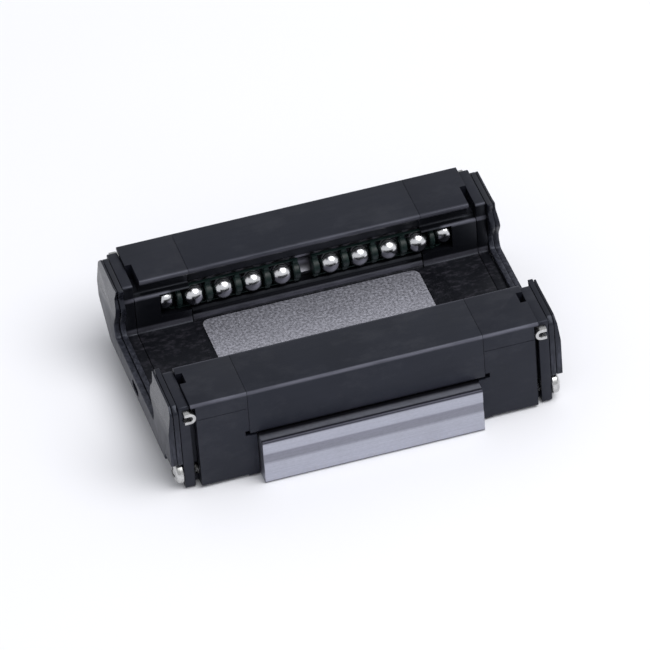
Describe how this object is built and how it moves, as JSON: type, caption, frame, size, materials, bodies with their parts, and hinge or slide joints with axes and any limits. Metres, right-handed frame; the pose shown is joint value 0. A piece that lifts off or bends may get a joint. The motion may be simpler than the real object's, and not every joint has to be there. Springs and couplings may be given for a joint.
{
  "type": "linear guide carriage",
  "caption": "Miniature linear guide carriage with a U-shaped steel block, black resin end caps and seals, and caged-ball circuits in both legs; it runs on a profile rail.",
  "frame": {"origin": "centre of the flat mounting face, which is the lowest plane of the part as it lies with its rail channel upwards", "axes": "+X along the rail towards the front end, +Y towards the left leg, +Z out of the mounting face's back, towards the open rail channel"},
  "size_m": [0.043, 0.032, 0.0113],
  "materials": {
    "ground_steel": "ground bearing steel, fine lengthwise grinding marks",
    "black_resin": "black moulded resin, satin with fine grain",
    "seal_rubber": "black moulded rubber, slightly glossy edges",
    "cage_resin": "dark green cage resin, oiled",
    "bearing_ball": "polished bearing steel, thin oil film",
    "plated_steel": "bright plated steel"
  },
  "bodies": {
    "carriage": {"steel_block": "ground_steel", "leg_cover_left": "black_resin", "ball_retainer_left": "black_resin", "leg_cover_right": "black_resin", "ball_retainer_right": "black_resin", "end_block_front": "black_resin", "end_plate_front": "black_resin", "scraper_front": "seal_rubber", "end_seal_front": "seal_rubber", "turn_guide_front_left": "black_resin", "end_screw_front_left": "plated_steel", "seal_clip_front_left": "plated_steel", "turn_guide_front_right": "black_resin", "end_screw_front_right": "plated_steel", "seal_clip_front_right": "plated_steel", "end_block_rear": "black_resin", "end_plate_rear": "black_resin", "scraper_rear": "seal_rubber", "end_seal_rear": "seal_rubber", "turn_guide_rear_left": "black_resin", "end_screw_rear_left": "plated_steel", "seal_clip_rear_left": "plated_steel", "turn_guide_rear_right": "black_resin", "end_screw_rear_right": "plated_steel", "seal_clip_rear_right": "plated_steel"},
    "load_row_left": {"load_ball_left_front_1": "bearing_ball", "load_ball_left_front_2": "bearing_ball", "load_ball_left_front_3": "bearing_ball", "load_ball_left_front_4": "bearing_ball", "load_cage_left_front": "cage_resin", "load_ball_left_rear_1": "bearing_ball", "load_ball_left_rear_2": "bearing_ball", "load_ball_left_rear_3": "bearing_ball", "load_ball_left_rear_4": "bearing_ball", "load_cage_left_rear": "cage_resin"},
    "return_row_left": {"return_train_left": "cage_resin"},
    "turn_front_left": {"turn_ball_front_left_1": "bearing_ball", "turn_ball_front_left_2": "bearing_ball", "turn_cage_front_left": "cage_resin"},
    "turn_rear_left": {"turn_ball_rear_left_1": "bearing_ball", "turn_ball_rear_left_2": "bearing_ball", "turn_cage_rear_left": "cage_resin"},
    "load_row_right": {"load_ball_right_front_1": "bearing_ball", "load_ball_right_front_2": "bearing_ball", "load_ball_right_front_3": "bearing_ball", "load_ball_right_front_4": "bearing_ball", "load_cage_right_front": "cage_resin", "load_ball_right_rear_1": "bearing_ball", "load_ball_right_rear_2": "bearing_ball", "load_ball_right_rear_3": "bearing_ball", "load_ball_right_rear_4": "bearing_ball", "load_cage_right_rear": "cage_resin"},
    "return_row_right": {"return_train_right": "cage_resin"},
    "turn_front_right": {"turn_ball_front_right_1": "bearing_ball", "turn_ball_front_right_2": "bearing_ball", "turn_cage_front_right": "cage_resin"},
    "turn_rear_right": {"turn_ball_rear_right_1": "bearing_ball", "turn_ball_rear_right_2": "bearing_ball", "turn_cage_rear_right": "cage_resin"}
  },
  "joints": [
    {"name": "load_row_left_slide", "type": "slide", "parent": "carriage", "child": "load_row_left", "axis": [1, 0, 0], "range_m": [-0.00162, 0.00162]},
    {"name": "return_row_left_slide", "type": "slide", "parent": "carriage", "child": "return_row_left", "axis": [1, 0, 0], "range_m": [-0.00165, 0.00165]},
    {"name": "turn_front_left_hinge", "type": "hinge", "parent": "carriage", "child": "turn_front_left", "pos_m": [0.01408, 0.01044, 0.0075], "axis": [0, 0, 1], "range_deg": [-41.6, 41.6]},
    {"name": "turn_rear_left_hinge", "type": "hinge", "parent": "carriage", "child": "turn_rear_left", "pos_m": [-0.01408, 0.01044, 0.0075], "axis": [0, 0, 1], "range_deg": [-41.6, 41.6]},
    {"name": "load_row_right_slide", "type": "slide", "parent": "carriage", "child": "load_row_right", "axis": [1, 0, 0], "range_m": [-0.00162, 0.00162]},
    {"name": "return_row_right_slide", "type": "slide", "parent": "carriage", "child": "return_row_right", "axis": [1, 0, 0], "range_m": [-0.00165, 0.00165]},
    {"name": "turn_front_right_hinge", "type": "hinge", "parent": "carriage", "child": "turn_front_right", "pos_m": [0.01408, -0.01044, 0.0075], "axis": [0, 0, 1], "range_deg": [-41.6, 41.6]},
    {"name": "turn_rear_right_hinge", "type": "hinge", "parent": "carriage", "child": "turn_rear_right", "pos_m": [-0.01408, -0.01044, 0.0075], "axis": [0, 0, 1], "range_deg": [-41.6, 41.6]}
  ],
  "couplings": [
    {"joint": "return_row_left_slide", "follows": "load_row_left_slide", "ratio": -1},
    {"joint": "turn_front_left_hinge", "follows": "load_row_left_slide", "rad_per_m": 445.62},
    {"joint": "turn_rear_left_hinge", "follows": "load_row_left_slide", "rad_per_m": 445.62},
    {"joint": "return_row_right_slide", "follows": "load_row_right_slide", "ratio": -1},
    {"joint": "turn_front_right_hinge", "follows": "load_row_right_slide", "rad_per_m": -445.62},
    {"joint": "turn_rear_right_hinge", "follows": "load_row_right_slide", "rad_per_m": -445.62}
  ]
}
